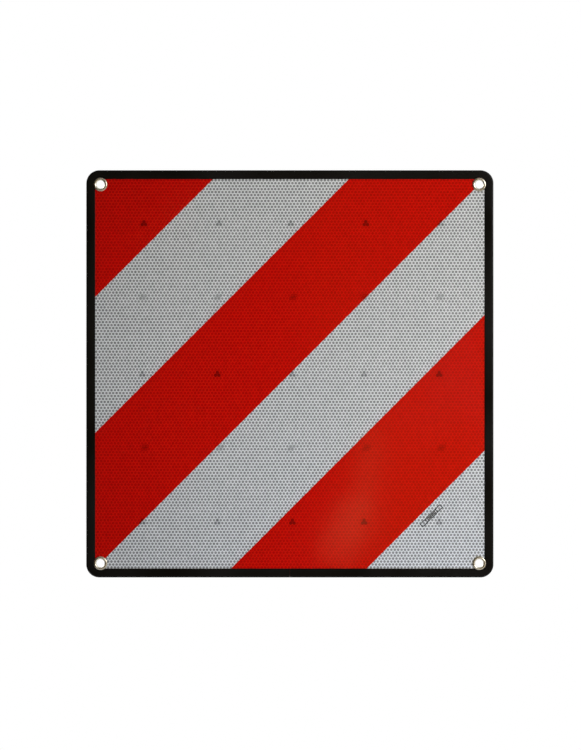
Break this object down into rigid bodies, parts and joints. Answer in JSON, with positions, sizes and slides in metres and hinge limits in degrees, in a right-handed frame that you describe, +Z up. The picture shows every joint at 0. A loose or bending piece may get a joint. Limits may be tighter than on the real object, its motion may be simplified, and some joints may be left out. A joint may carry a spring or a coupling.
{
  "type": "overhanging load sign",
  "caption": "Square overhanging load sign: aluminium plate with red and white diagonal reflective stripes, a black edge trim and an eyelet in each corner for tying or bolting it on.",
  "frame": {"origin": "centre of the four eyelets, on the back face of the aluminium plate", "axes": "+Z up and +X right as the striped face is read; the face looks along -Y"},
  "size_m": [0.5, 0.0049, 0.5],
  "materials": {
    "plate_aluminium": "mill finish rolled sheet",
    "white_sheeting": "gloss, honeycomb reflective sheeting",
    "red_film": "gloss transparent red film over the honeycomb",
    "black_trim": "satin extruded PVC",
    "eyelet_metal": "nickel plated, polished"
  },
  "bodies": {
    "root": {"backing_plate": "plate_aluminium", "reflective_sheeting": "white_sheeting", "red_stripe_upper": "red_film", "red_stripe_middle": "red_film", "red_stripe_lower": "red_film", "edge_trim": "black_trim", "eyelet_top_left": "eyelet_metal", "washer_top_left": "eyelet_metal", "eyelet_top_right": "eyelet_metal", "washer_top_right": "eyelet_metal", "eyelet_bottom_left": "eyelet_metal", "washer_bottom_left": "eyelet_metal", "eyelet_bottom_right": "eyelet_metal", "washer_bottom_right": "eyelet_metal"}
  },
  "joints": []
}
